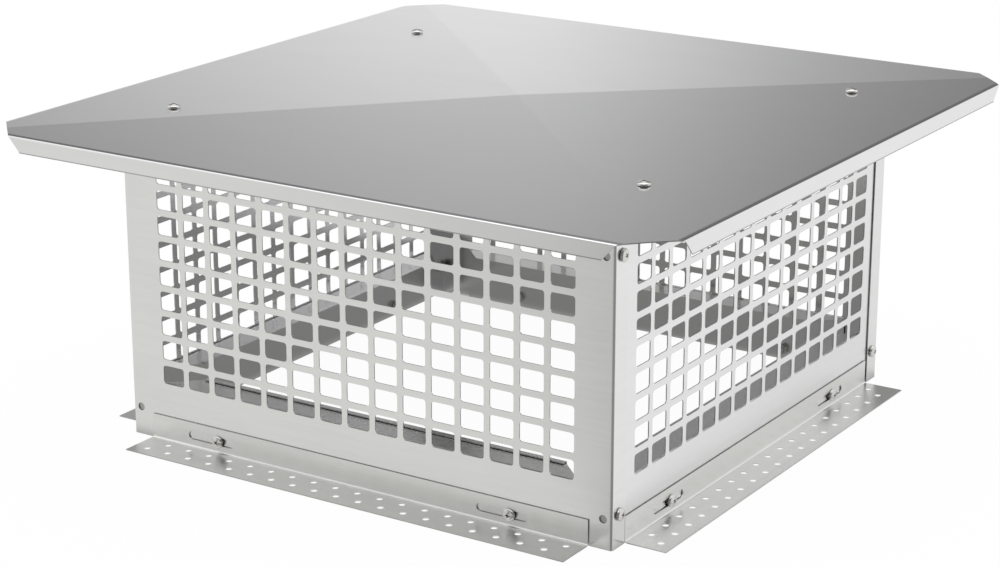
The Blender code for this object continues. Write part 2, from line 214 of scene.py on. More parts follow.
def punched_rows_tree():
    """Punches rows of holes with rounded corners through a sheet. Stagger shifts every second row."""
    inputs = [("Sheet", "Geometry"), ("Hole Width", "Float"), ("Hole Height", "Float")]
    inputs += [("Corner Radius", "Float"), ("Columns", "Int"), ("Rows", "Int")]
    inputs += [("Pitch Across", "Float"), ("Pitch Up", "Float"), ("Stagger", "Float")]
    inputs += [("Centre", "Vector"), ("Turn", "Vector"), ("Depth", "Float"), ("Material", "Material")]
    outputs = [("Punched Sheet", "Geometry")]
    tree, given, result = new_tree("punched rows", "GeometryNodeTree", inputs, outputs)
    size = given.outputs
    outline = add_node(
        tree,
        "GeometryNodeCurvePrimitiveQuadrilateral",
        Width=size["Hole Width"],
        Height=size["Hole Height"],
    )
    rounded = add_node(
        tree,
        "GeometryNodeFilletCurve",
        {"mode": "POLY"},
        Curve=outline.outputs["Curve"],
        Count=MESH_CORNER_STEPS,
        Radius=size["Corner Radius"],
        Limit_Radius=True,
    )
    half_depth = arithmetic(tree, "MULTIPLY", size["Depth"], 0.5)
    other_half = arithmetic(tree, "MULTIPLY", size["Depth"], -0.5)
    line = add_node(
        tree,
        "GeometryNodeCurvePrimitiveLine",
        Start=add_node(tree, "ShaderNodeCombineXYZ", Z=other_half).outputs[0],
        End=add_node(tree, "ShaderNodeCombineXYZ", Z=half_depth).outputs[0],
    )
    punch = add_node(
        tree,
        "GeometryNodeCurveToMesh",
        Curve=line.outputs["Curve"],
        Profile_Curve=rounded.outputs["Curve"],
        Fill_Caps=True,
    )
    gaps = [arithmetic(tree, "SUBTRACT", size[label], 1.0) for label in ("Columns", "Rows")]
    pitches = (size["Pitch Across"], size["Pitch Up"])
    spans = [arithmetic(tree, "MULTIPLY", gap, pitch) for gap, pitch in zip(gaps, pitches)]
    grid = add_node(
        tree,
        "GeometryNodeMeshGrid",
        Size_X=spans[0],
        Size_Y=spans[1],
        Vertices_X=size["Columns"],
        Vertices_Y=size["Rows"],
    )
    position = tree.nodes.new("GeometryNodeInputPosition").outputs[0]
    place = add_node(tree, "ShaderNodeSeparateXYZ", Vector=position)
    shift = arithmetic(tree, "MULTIPLY", arithmetic(tree, "SIGN", place.outputs["Y"]), size["Stagger"])
    staggered = add_node(
        tree,
        "GeometryNodeSetPosition",
        Geometry=grid.outputs["Mesh"],
        Offset=add_node(tree, "ShaderNodeCombineXYZ", X=shift).outputs[0],
    )
    rows = add_node(
        tree,
        "GeometryNodeInstanceOnPoints",
        Points=staggered.outputs["Geometry"],
        Instance=punch.outputs["Mesh"],
    )
    placed = add_node(
        tree,
        "GeometryNodeTransform",
        Geometry=rows.outputs["Instances"],
        Translation=size["Centre"],
        Rotation=size["Turn"],
    )
    punches = add_node(tree, "GeometryNodeRealizeInstances", Geometry=placed.outputs["Geometry"])
    cut = add_node(tree, "GeometryNodeMeshBoolean", {"operation": "DIFFERENCE", "solver": "EXACT"})
    tree.links.new(size["Sheet"], cut.inputs["Mesh 1"])
    tree.links.new(punches.outputs["Geometry"], cut.inputs["Mesh 2"])
    whole = add_node(tree, "GeometryNodeRealizeInstances", Geometry=cut.outputs["Mesh"])
    finished = add_node(
        tree, "GeometryNodeSetMaterial", Geometry=whole.outputs["Geometry"], Material=size["Material"]
    )
    tree.links.new(finished.outputs["Geometry"], result.inputs["Punched Sheet"])
    return tree


PUNCHED_ROWS = punched_rows_tree()
UPRIGHT = (math.pi / 2, 0.0, 0.0)
SIDEWAYS = (math.pi / 2, 0.0, math.pi / 2)
LEVEL = (0.0, 0.0, 0.0)


def set_tree(piece, tree, **values):
    """Puts a geometry tree on a piece and sets its inputs, each named with _ for a space."""
    modifier = piece.modifiers.new(tree.name, "NODES")
    modifier.node_group = tree
    inputs = [item for item in tree.interface.items_tree if getattr(item, "in_out", "") == "INPUT"]
    identifiers = {item.name: item.identifier for item in inputs}
    for label, value in values.items():
        modifier[identifiers[label.replace("_", " ")]] = value


def punch(piece, hole, corner, counts, pitches, centre, turn, material, stagger=0.0, depth=PUNCH_DEPTH):
    set_tree(
        piece,
        PUNCHED_ROWS,
        Hole_Width=hole[0],
        Hole_Height=hole[1],
        Corner_Radius=corner,
        Columns=counts[0],
        Rows=counts[1],
        Pitch_Across=pitches[0],
        Pitch_Up=pitches[1],
        Stagger=stagger,
        Centre=centre,
        Turn=turn,
        Depth=depth,
        Material=material,
    )


def round_holes(piece, diameter, counts, pitches, centre, turn, material, stagger=0.0, depth=PUNCH_DEPTH):
    hole = (diameter, diameter)
    punch(piece, hole, ROUND_SHARE * diameter, counts, pitches, centre, turn, material, stagger, depth)


def plain_mesh(piece):
    """The piece's mesh with its modifiers worked in. The piece itself is removed."""
    graph = bpy.context.evaluated_depsgraph_get()
    mesh = bpy.data.meshes.new_from_object(piece.evaluated_get(graph))
    bpy.data.objects.remove(piece)
    return mesh


def rough_piece(name, mesh):
    piece = bpy.data.objects.new(name, mesh)
    bpy.context.scene.collection.objects.link(piece)
    return piece


def thick_sheet(name, mesh):
    """A folded surface given its thickness, on the side away from its normals."""
    piece = rough_piece(name, mesh)
    wall = piece.modifiers.new("sheet", "SOLIDIFY")
    wall.thickness = SHEET
    wall.offset = -1
    wall.use_even_offset = True
    wall.use_quality_normals = True
    return piece


SMOOTH_UP_TO = math.radians(28)
BIG_FLAT = 0.002


def smooth_bends(name, mesh, sharp_flats=False):
    """Shades bends smooth and leaves flats flat. Two big flats that meet keep a crisp line between them."""
    mesh.shade_smooth()
    mesh.set_sharp_from_angle(angle=SMOOTH_UP_TO)
    if sharp_flats:
        work = bmesh.new()
        work.from_mesh(mesh)
        for edge in work.edges:
            if len(edge.link_faces) == 2 and min(flat.calc_area() for flat in edge.link_faces) > BIG_FLAT:
                edge.smooth = False
        work.to_mesh(mesh)
        work.free()
    piece = rough_piece(name, mesh)
    weighted = piece.modifiers.new("flats", "WEIGHTED_NORMAL")
    weighted.keep_sharp = True
    weighted.weight = 100
    return rough_piece(name, plain_mesh(piece))


def points_of(mesh):
    at = np.zeros(len(mesh.vertices) * 3, np.float32)
    mesh.vertices.foreach_get("co", at)
    return at.reshape(-1, 3)


def wall_grain(face, seed):
    """How far each point of a wall lies along and across the sheet's rolling lines, as if it lay flat."""

    def lay(at):
        inward = at[:, 1] + face
        side = np.sign(at[:, 0])
        on_flange = (np.abs(at[:, 0]) > face - 2 * SHEET) & (inward > PANEL_BEND)
        along = np.where(on_flange, side * (face + inward), at[:, 0])
        across = np.where(on_flange, at[:, 2], at[:, 2] + np.abs(inward))
        return along, across, np.full(len(at), seed)

    return lay


CUT_TOLERANCE = 0.00003
CUT_LEAST = 0.003
FACING_OUT = 0.9


def mark_dull_and_painted_shade_faces(mesh, lapped):
    """Marks the straight sheared edges, and the outer faces of flanges that lie this far out behind a panel.

    A sheared edge is a strip as wide as the sheet is thick, with two sides that go through it. Both kinds of
    face are painted darker: a sheared edge partly in the metal's own tone and partly as a painted shade
    line, a flange face as painted shade between the lapped sheets.
    """
    dull_and_painted_shade = []
    for face in mesh.polygons:
        corners = [mesh.vertices[index].co for index in face.vertices]
        sides = [(corner - corners[turn - 1]).length for turn, corner in enumerate(corners)]
        through = sum(abs(side - SHEET) < CUT_TOLERANCE for side in sides)
        length = sum(sides) / 2 - SHEET
        straight = length > CUT_LEAST and abs(face.area / length - SHEET) < CUT_TOLERANCE
        outward = face.normal.x * math.copysign(1.0, face.center.x)
        # A flange face behind a panel gets painted shade between the lapped sheets.
        behind = abs(face.center.x) > lapped and outward > FACING_OUT
        dull_and_painted_shade.append(float((through >= 2 and straight) or behind))
    mesh.attributes.new("dull_and_painted_shade", "FLOAT", "FACE").data.foreach_set("value", dull_and_painted_shade)


GRAIN_LENGTHS = {
    "Fine Lines": (0.030, 0.0004, 0.5),
    "Streaks": (0.110, 0.0045, 0.5),
    "Clouds": (0.090, 0.045, 0.5),
}
GRAIN_DETAIL = 2.0
GRAIN_ROUGHNESS = 0.55


def satin_sheet_group():
    """The mill finish of stainless sheet: fine rolling lines, broad streaks and cloudy patches.

    The lengths are along the lines, across them, and from one sheet's seed to the next.
    """
    inputs = [("Grain", "Vector"), ("Fine Lines", "Float"), ("Streaks", "Float"), ("Clouds", "Float")]
    outputs = [("Tone", "Float"), ("Height", "Float")]
    tree, given, result = new_tree("satin sheet", "ShaderNodeTree", inputs, outputs)
    layers = []
    for strength, lengths in GRAIN_LENGTHS.items():
        scaled = add_node(
            tree,
            "ShaderNodeVectorMath",
            {"operation": "MULTIPLY"},
            n0=given.outputs["Grain"],
            n1=tuple(1 / length for length in lengths),
        )
        noise = add_node(
            tree,
            "ShaderNodeTexNoise",
            Vector=scaled.outputs[0],
            Scale=1.0,
            Detail=GRAIN_DETAIL,
            Roughness=GRAIN_ROUGHNESS,
        )
        centred = arithmetic(tree, "SUBTRACT", noise.outputs["Fac"], 0.5)
        layers.append(arithmetic(tree, "MULTIPLY", centred, given.outputs[strength]))
    fine_and_streaks = arithmetic(tree, "ADD", layers[0], layers[1])
    tone = arithmetic(tree, "ADD", fine_and_streaks, layers[2])
    tree.links.new(arithmetic(tree, "ADD", tone, 0.5), result.inputs["Tone"])
    tree.links.new(fine_and_streaks, result.inputs["Height"])
    return tree


def shaded(colour, share):
    """A colour made this much lighter or darker."""
    return (*(min(1.0, part * share) for part in colour), 1.0)


def new_metal(name):
    """A metal without a finish yet. Gives the material, its tree and its shader."""
    material = bpy.data.materials.new(name)
    material.use_nodes = True
    shader = material.node_tree.nodes["Principled BSDF"]
    shader.inputs["Metallic"].default_value = 1.0
    return material, material.node_tree, shader


SATIN_SHEET = satin_sheet_group()
LINE_DEPTH = 0.00002
GLOSS_SPREAD = 0.25
# Colour share of marked faces: painted shade, and on sheared edges also the metal's own darker tone.
EDGE_TONE_AND_PAINTED_SHADE = 0.60
CUT_ROUGHNESS = 0.45


def sheet_steel(name, colour, roughness, fine, streaks, clouds, contrast=0.10):
    """Stainless sheet. Its colour and gloss follow the rolling lines. Marked faces are rougher and painted
    darker: sheared edges partly in their own tone and partly as a painted shade line, lapped flange faces as
    painted shade.
    """
    material, tree, shader = new_metal(name)
    grain = add_node(tree, "ShaderNodeAttribute", {"attribute_name": "grain"}).outputs["Vector"]
    finish = add_node(
        tree,
        "ShaderNodeGroup",
        {"node_tree": SATIN_SHEET},
        Grain=grain,
        Fine_Lines=fine,
        Streaks=streaks,
        Clouds=clouds,
    )
    tone = finish.outputs["Tone"]
    shade = blend_colours(tree, tone, shaded(colour, 1 - contrast), shaded(colour, 1 + contrast))
    dull_and_painted_shade = add_node(tree, "ShaderNodeAttribute", {"attribute_name": "dull_and_painted_shade"}).outputs["Fac"]
    # Painted shade: sheared edges and lapped flange faces are made darker here.
    edge_tone_and_painted_shade = blend_colours(tree, dull_and_painted_shade, shade, shaded(colour, EDGE_TONE_AND_PAINTED_SHADE))
    tree.links.new(edge_tone_and_painted_shade, shader.inputs["Base Color"])
    gloss = add_node(
        tree,
        "ShaderNodeMapRange",
        n0=tone,
        n3=roughness * (1 + GLOSS_SPREAD),
        n4=roughness * (1 - GLOSS_SPREAD),
    )
    tree.links.new(blend(tree, dull_and_painted_shade, gloss.outputs[0], CUT_ROUGHNESS), shader.inputs["Roughness"])
    height = finish.outputs["Height"]
    bump = add_node(tree, "ShaderNodeBump", Strength=1.0, Distance=LINE_DEPTH, Height=height)
    tree.links.new(bump.outputs["Normal"], shader.inputs["Normal"])
    return material


def finish_sheet(name, piece, lay, material, node, turn=0.0, lapped=math.inf, sharp_flats=False):
    """Works in a sheet's punches, lays its grain, turns it to its side of the box and sets it on the frame.

    Flanges further out than lapped lie behind another panel, and their outer faces get painted shade.
    """
    mesh = plain_mesh(piece)
    grain = np.stack(lay(points_of(mesh)), axis=1).astype(np.float32)
    mesh.attributes.new("grain", "FLOAT_VECTOR", "POINT").data.foreach_set("vector", grain.ravel())
    mark_dull_and_painted_shade_faces(mesh, lapped)
    sheet = smooth_bends(name, mesh, sharp_flats)
    sheet.data.materials.clear()
    sheet.data.materials.append(material)
    sheet.data.transform(Matrix.Rotation(turn, 4, "Z"))
    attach(sheet, "root")
    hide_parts(node)


def punch_panel(piece, face, material):
    """The mesh of holes, and the bolt holes through the face and its return."""
    counts = (MESH_COLUMNS, MESH_ROWS)
    mesh_centre = (0.0, -face, MESH_FIRST_ROW + (MESH_ROWS - 1) * MESH_PITCH[1] / 2)
    punch(piece, MESH_HOLE, MESH_CORNER, counts, MESH_PITCH, mesh_centre, UPRIGHT, material)
    middle = (0.0, -face + RETURN_FACE / 2, BOLT_HEIGHT)
    deep = 3 * RETURN_FACE
    round_holes(piece, BOLT_HOLE, (2, 1), (BOLT_SPACING, 0), middle, UPRIGHT, material, depth=deep)


def middle_and_span(heights):
    return (heights[0] + heights[1]) / 2, heights[1] - heights[0]


SCREW_MIDDLE, SCREW_SPAN = middle_and_span(CORNER_SCREW_HEIGHTS)
SPARE_MIDDLE, SPARE_SPAN = middle_and_span(SPARE_HOLE_HEIGHTS)

# No two sheets have the same grain. Their seeds lie this far apart.
SEED_STEP = 0.7

wide_steel = sheet_steel(
    "wide_panel_steel",
    colour=(0.77, 0.775, 0.765),
    roughness=0.22,
    fine=0.35,
    streaks=0.30,
    clouds=0.35,
)
for number, side in enumerate(("front", "back")):
    panel = thick_sheet(side + "_cut", folded_panel(side, FRONT_FACE, CORNER_FLANGE, 0.0, CORNER_BEND))
    punch_panel(panel, FRONT_FACE, wide_steel)
    spares_apart = 2 * (FRONT_FACE - SPARE_HOLE_INSET)
    spares = (0.0, -FRONT_FACE, SPARE_MIDDLE)
    round_holes(panel, SPARE_HOLE, (2, 2), (spares_apart, SPARE_SPAN), spares, UPRIGHT, wide_steel)
    for edge in (-1, 1):
        screws = (edge * FRONT_FACE, -FRONT_FACE + CORNER_SCREW_INSET, SCREW_MIDDLE)
        round_holes(panel, BOLT_HOLE, (1, 2), (0, SCREW_SPAN), screws, SIDEWAYS, wide_steel)
    finish_sheet(
        side + "_panel_sheet",
        panel,
        wall_grain(FRONT_FACE, number * SEED_STEP),
        wide_steel,
        side + "_panel",
        TURNS[side],
    )


# Side panels. They are folded and punched like the wide ones, but are a sheet narrower and tucked inside
# their flanges, and have a flange along the top that the lid is screwed to.
SIDE_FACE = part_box("right_panel")[1].x
TUCKED_FLANGE = 0.0150
TOP_FLANGE = 0.0180
LID_SCREW_INSET = 0.0075
LID_SCREW_SPACING = 0.330
SIDE_SEED = 2

side_steel = sheet_steel(
    "side_panel_steel",
    colour=(0.77, 0.77, 0.775),
    roughness=0.20,
    fine=0.30,
    streaks=0.25,
    clouds=0.25,
)
for number, (side, rear) in enumerate((("right", 1), ("left", -1))):
    panel = thick_sheet(side + "_cut", folded_panel(side, SIDE_FACE, TUCKED_FLANGE, TOP_FLANGE, PANEL_BEND))
    punch_panel(panel, SIDE_FACE, side_steel)
    screws = (0.0, -SIDE_FACE, SCREW_MIDDLE)
    screws_apart = 2 * (FRONT_FACE - CORNER_SCREW_INSET)
    round_holes(panel, BOLT_HOLE, (2, 2), (screws_apart, SCREW_SPAN), screws, UPRIGHT, side_steel)
    lid_screws = (0.0, -SIDE_FACE + LID_SCREW_INSET, PANEL_TOP)
    round_holes(panel, BOLT_HOLE, (2, 1), (LID_SCREW_SPACING, 0), lid_screws, LEVEL, side_steel)
    spares = (rear * SIDE_FACE, -FRONT_FACE + SPARE_HOLE_INSET, SPARE_MIDDLE)
    round_holes(panel, SPARE_HOLE, (1, 2), (0, SPARE_SPAN), spares, SIDEWAYS, side_steel)
    finish_sheet(
        side + "_panel_sheet",
        panel,
        wall_grain(SIDE_FACE, SIDE_SEED + number * SEED_STEP),
        side_steel,
        side + "_panel",
        TURNS[side],
        # The tucked flanges' outer faces get painted shade.
        lapped=SIDE_FACE - SHEET / 2,
    )


# Brackets. Each is an angle of the same sheet. Its upright leg has two long slots for the bolts that clamp
# it to the box, and its foot has two staggered rows of round holes for the screws into the chimney's crown.
BRACKET_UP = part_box("front_bracket")[1].z
BRACKET_OUT = 0.034
SEAT_GAP = 0.0003
SLOT_HOLE = (0.0440, 0.0064)
SLOT_SPACING = 0.2655
SLOT_SHIFTS = {"front": -0.0070, "right": -0.0018, "back": -0.0070, "left": -0.0018}
BRACKET_BEND = 0.0024
PERFORATION = 0.0052
PERFORATION_PITCH = 0.020
PERFORATIONS = 19
PERFORATION_STAGGER = 0.005
INNER_ROW = 0.0100
ROW_SPACING = 0.0131
BRACKET_SEED = 4

bracket_steel = sheet_steel(
    "bracket_steel",
    colour=(0.765, 0.765, 0.75),
    roughness=0.29,
    fine=0.25,
    streaks=0.38,
    clouds=0.35,
)
for number, (side, turn) in enumerate(TURNS.items()):
    low, high = (Matrix.Rotation(-turn, 3, "Z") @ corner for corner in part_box(side + "_bracket"))
    ends = sorted((low.x, high.x))
    middle = sum(ends) / 2
    back = (FRONT_FACE if side in ("front", "back") else SIDE_FACE) + SEAT_GAP
    work = flat_sheet(ends, 0.0, BRACKET_UP, -back)
    foot = open_edges(work, 2, 0.0)
    fold_on(work, foot, Vector((0, -BRACKET_OUT, 0)))
    round_folds(work, foot, BRACKET_BEND)
    angle = thick_sheet(side + "_angle_cut", faced_sheet(work, Vector((0, 0, -1)), side + "_angle"))
    slots = (middle + SLOT_SHIFTS[side], -back, BOLT_HEIGHT)
    slot_end = ROUND_SHARE * SLOT_HOLE[1]
    punch(angle, SLOT_HOLE, slot_end, (2, 1), (SLOT_SPACING, 0), slots, UPRIGHT, bracket_steel)
    rows = (middle, -back - INNER_ROW - ROW_SPACING / 2, SHEET / 2)
    round_holes(
        angle,
        PERFORATION,
        (PERFORATIONS, 2),
        (PERFORATION_PITCH, ROW_SPACING),
        rows,
        LEVEL,
        bracket_steel,
        stagger=PERFORATION_STAGGER,
    )
    finish_sheet(
        side + "_bracket_angle",
        angle,
        wall_grain(back, BRACKET_SEED + number * SEED_STEP),
        bracket_steel,
        side + "_bracket",
        turn,
    )


# Screws. They are stainless pan heads with a cross recess and a rolled thread. Eight close the corners of
# the box, eight clamp the brackets and four hold the lid.
HEAD_DIAMETER = 0.0100
HEAD_HEIGHT = 0.0030
CROWN_DIAMETER = 0.0064
CROWN_RISE = 0.0007
CROWN_STEPS = 4
SHOULDER_FOOT = 0.0008
SHOULDER_ANGLES = (15, 30, 45, 60, 75, 90)
SEAT_EDGE_SHARE = 0.97
SEAT_FLAT_SHARE = 0.94
SHANK_DIAMETER = 0.0046
SCREW_LENGTH = 0.0105
THREAD_PITCH = 0.0008
THREAD_DEPTH = 0.0004
RECESS_REACH = 0.0020
RECESS_WIDTH = 0.0009
RECESS_DEPTH = 0.0019
RECESS_FLOOR_DEPTH = 0.9 * RECESS_DEPTH
RECESS_MOUTH_SHARE = 1.1
RECESS_FLOOR_SHARE = 0.35
RECESS_WALL = 0.6
ROUND_STEPS = 32
CREASED_FROM = math.radians(35)


def turned_mesh(name, profile):
    """A profile of (radius, height) points, turned about +Z into a closed body."""
    work = bmesh.new()
    points = [work.verts.new((radius, 0.0, height)) for radius, height in profile]
    rings = [work.edges.new(pair) for pair in zip(points, points[1:])]
    bmesh.ops.spin(
        work,
        geom=points + rings,
        cent=(0, 0, 0),
        axis=(0, 0, 1),
        angle=2 * math.pi,
        steps=ROUND_STEPS,
        use_merge=True,
    )
    bmesh.ops.remove_doubles(work, verts=work.verts, dist=NEAR)
    bmesh.ops.recalc_face_normals(work, faces=work.faces)
    return mesh_of(work, name)


def dome(radius, low, high, steps):
    """Points of an arc that rises from this radius to the axis."""
    rise = high - low
    bow = (radius**2 + rise**2) / (2 * rise)
    reach = math.asin(radius / bow)
    angles = [reach * (1 - step / steps) for step in range(steps + 1)]
    return [(bow * math.sin(angle), high - bow + bow * math.cos(angle)) for angle in angles]


def cross_recess():
    """A cross-shaped punch that narrows with depth."""
    work = bmesh.new()
    half = RECESS_WIDTH / 2
    corner = [(RECESS_REACH, -half), (RECESS_REACH, half), (half, half)]
    quarters = [Matrix.Rotation(quarter * math.pi / 2, 2) for quarter in range(4)]
    outline = [turn @ Vector(point) for turn in quarters for point in corner]
    mouth = (HEAD_HEIGHT + RECESS_DEPTH / 4, RECESS_MOUTH_SHARE)
    floor = (HEAD_HEIGHT - RECESS_DEPTH, RECESS_FLOOR_SHARE)
    rings = [
        [work.verts.new((*(point * share), height)) for point in outline]
        for height, share in (mouth, floor)
    ]
    for ring in rings:
        work.faces.new(ring)
    for index in range(len(outline)):
        follows = (index + 1) % len(outline)
        work.faces.new((rings[0][index], rings[0][follows], rings[1][follows], rings[1][index]))
    bmesh.ops.recalc_face_normals(work, faces=work.faces)
    return mesh_of(work, "cross_recess")


def cut_with(piece, mesh, operation):
    """Works one mesh into another by a Boolean, and gives the result."""
    cutter = rough_piece("cutter", mesh)
    cut = piece.modifiers.new("cut", "BOOLEAN")
    cut.operation = operation
    cut.solver = "EXACT"
    cut.object = cutter
    made = plain_mesh(piece)
    bpy.data.objects.remove(cutter)
    return made


def shade_turned(mesh):
    mesh.shade_smooth()
    mesh.set_sharp_from_angle(angle=CREASED_FROM)
    return mesh


def in_recess(face):
    """Whether a face of a screw is a wall or the floor of its cross recess."""
    out = face.center.xy.length
    wall = out < RECESS_REACH and face.normal.z < RECESS_WALL
    floor = out < RECESS_WIDTH and face.center.z < HEAD_HEIGHT - RECESS_FLOOR_DEPTH
    return face.center.z > 0.0 and (wall or floor)


def screw_mesh():
    """A pan head with its seat at the origin and its threaded shank going down."""
    head = HEAD_DIAMETER / 2
    shank = SHANK_DIAMETER / 2
    crown = CROWN_DIAMETER / 2
    top = dome(crown, HEAD_HEIGHT - CROWN_RISE, HEAD_HEIGHT, CROWN_STEPS)[::-1]
    drop = top[-1][1] - SHOULDER_FOOT
    shoulder = [
        (crown + (head - crown) * math.sin(angle), SHOULDER_FOOT + drop * math.cos(angle))
        for angle in map(math.radians, SHOULDER_ANGLES)
    ]
    seat = [(head * SEAT_EDGE_SHARE, SHEET / 8), (head * SEAT_FLAT_SHARE, 0.0), (shank, 0.0)]
    profile = top + shoulder + seat
    turns = int(SCREW_LENGTH / THREAD_PITCH) - 1
    for turn in range(1, turns + 1):
        profile += [(shank, -turn * THREAD_PITCH), (shank - THREAD_DEPTH, -(turn + 0.5) * THREAD_PITCH)]
    profile += [(shank - THREAD_DEPTH, -SCREW_LENGTH), (0.0, -SCREW_LENGTH)]
    mesh = cut_with(rough_piece("screw", turned_mesh("screw", profile)), cross_recess(), "DIFFERENCE")
    # Marks the recess faces, which the steel fills with painted shade.
    recess = [float(in_recess(face)) for face in mesh.polygons]
    mesh.attributes.new("recess", "FLOAT", "FACE").data.foreach_set("value", recess)
    return shade_turned(mesh)


def set_fasteners_tree():
    """Sets a fastener on each guide point. Its +Z follows the point's outward attribute, at random spin."""
    inputs = [("Points", "Geometry"), ("Fastener", "Object"), ("Seed", "Int"), ("Material", "Material")]
    tree, given, result = new_tree("set fasteners", "GeometryNodeTree", inputs, [("Fasteners", "Geometry")])
    a_vector = {"data_type": "FLOAT_VECTOR"}
    outward = add_node(tree, "GeometryNodeInputNamedAttribute", a_vector, Name="outward")
    looks = add_node(
        tree, "FunctionNodeAlignRotationToVector", {"axis": "Z"}, Vector=outward.outputs["Attribute"]
    )
    angle = add_node(tree, "FunctionNodeRandomValue", {"data_type": "FLOAT"}, Seed=given.outputs["Seed"])
    angle.inputs[3].default_value = math.pi / 2
    spin = add_node(tree, "FunctionNodeAxisAngleToRotation", Axis=(0.0, 0.0, 1.0), Angle=angle.outputs[1])
    both = add_node(
        tree,
        "FunctionNodeRotateRotation",
        {"rotation_space": "LOCAL"},
        Rotation=looks.outputs["Rotation"],
        Rotate_By=spin.outputs["Rotation"],
    )
    shape = add_node(tree, "GeometryNodeObjectInfo", Object=given.outputs["Fastener"])
    set_out = add_node(
        tree,
        "GeometryNodeInstanceOnPoints",
        Points=given.outputs["Points"],
        Instance=shape.outputs["Geometry"],
        Rotation=both.outputs["Rotation"],
    )
    real = add_node(tree, "GeometryNodeRealizeInstances", Geometry=set_out.outputs["Instances"])
    finished = add_node(
        tree,
        "GeometryNodeSetMaterial",
        Geometry=real.outputs["Geometry"],
        Material=given.outputs["Material"],
    )
    tree.links.new(finished.outputs["Geometry"], result.inputs["Fasteners"])
    return tree


SET_FASTENERS = set_fasteners_tree()
# How dark the painted shade in a head's cross recess is, as a share of the steel's colour.
RECESS_PAINTED_SHADE = 0.25
MARKS_SCALE = 900.0
MARKS_DETAIL = 3.0


def fastener_steel(name, colour, roughness, wear):
    """Turned stainless. Handling marks change its gloss a little, and the recess in a head gets painted
    shade.
    """
    material, tree, shader = new_metal(name)
    place = add_node(tree, "ShaderNodeTexCoord").outputs["Object"]
    noise = add_node(tree, "ShaderNodeTexNoise", Vector=place, Scale=MARKS_SCALE, Detail=MARKS_DETAIL)
    marks = noise.outputs["Fac"]
    shade = blend_colours(tree, marks, shaded(colour, 1 - wear), shaded(colour, 1 + wear))
    # Painted shade in the cross recess.
    recess = add_node(tree, "ShaderNodeAttribute", {"attribute_name": "recess"}).outputs["Fac"]
    recess_painted_shade = blend_colours(tree, recess, shade, shaded(colour, RECESS_PAINTED_SHADE))
    tree.links.new(recess_painted_shade, shader.inputs["Base Color"])
    gloss = add_node(
        tree,
        "ShaderNodeMapRange",
        n0=marks,
        n3=roughness * (1 - wear),
        n4=roughness * (1 + wear),
    )
    tree.links.new(gloss.outputs[0], shader.inputs["Roughness"])
    return material


def far_side(node, outward):
    """The middle of the side of a node's box that looks outward."""
    low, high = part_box(node)
    return (low + high) / 2 + outward * abs((high - low).dot(outward)) / 2


def set_fasteners(name, shape, material, nodes, outwards, sunk, seed):
    """Sets a fastener where each of these nodes is. Its seat lies this far below the node's outer side."""
    guide = bpy.data.meshes.new(name)
    seats = [far_side(node, outward) - outward * sunk for node, outward in zip(nodes, outwards)]
    guide.from_pydata(seats, [], [])
    looks = [value for outward in outwards for value in outward]
    guide.attributes.new("outward", "FLOAT_VECTOR", "POINT").data.foreach_set("vector", looks)
    points = rough_piece(name + "_points", guide)
    set_tree(points, SET_FASTENERS, Fastener=shape, Seed=seed, Material=material)
    piece = rough_piece(name, plain_mesh(points))
    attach(piece, "root")
    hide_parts(*nodes)


def numbered(name, count):
    return [f"{name}_{number}" for number in range(1, count + 1)]


def side_of(node):
    """The way out of the box at a corner fastener, which is along X."""
    low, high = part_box(node)
    return Vector((math.copysign(1.0, low.x + high.x), 0.0, 0.0))


def nearest_side(node):
    """The way out of the box at a bracket's fastener."""
    low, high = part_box(node)
    middle = (low + high) / 2
    if abs(middle.x) > abs(middle.y):
        return Vector((math.copysign(1.0, middle.x), 0.0, 0.0))
    return Vector((0.0, math.copysign(1.0, middle.y), 0.0))


UP = Vector((0.0, 0.0, 1.0))


def straight_up(node):
    """The way out at a lid's fastener."""
    return UP


# Where fasteners sit: how the nodes' names start, how many there are, and what gives their way out.
PLACES = (("corner", 8, side_of), ("bracket", 8, nearest_side), ("lid", 4, straight_up))


def set_all(kind, mesh, material, names, sunk, seeds):
    """Sets all the screws or all the nuts, as one piece for each place on the cap."""
    shape = rough_piece(kind + "_shape", mesh)
    for (place, count, outward_at), name, seed in zip(PLACES, names, seeds):
        nodes = numbered(f"{place}_{kind}", count)
        outwards = [outward_at(node) for node in nodes]
        set_fasteners(name, shape, material, nodes, outwards, sunk, seed)
    bpy.data.objects.remove(shape)


screw_steel = fastener_steel("screw_steel", colour=(0.66, 0.65, 0.63), roughness=0.20, wear=0.12)
screw_names = ("corner_screws", "bracket_bolts", "lid_screws")
set_all("screw", screw_mesh(), screw_steel, screw_names, sunk=HEAD_HEIGHT, seeds=(3, 5, 8))


# Nuts. Plain hexagons with chamfered corners stand behind every screw, inside the box and under the lid.
NUT_ACROSS_FLATS = 0.0080
NUT_HEIGHT = 0.0040
NUT_CHAMFER = 0.0007
NUT_FACE_SHARE = 0.97
NUT_CLEARS_CORNER = 1.02


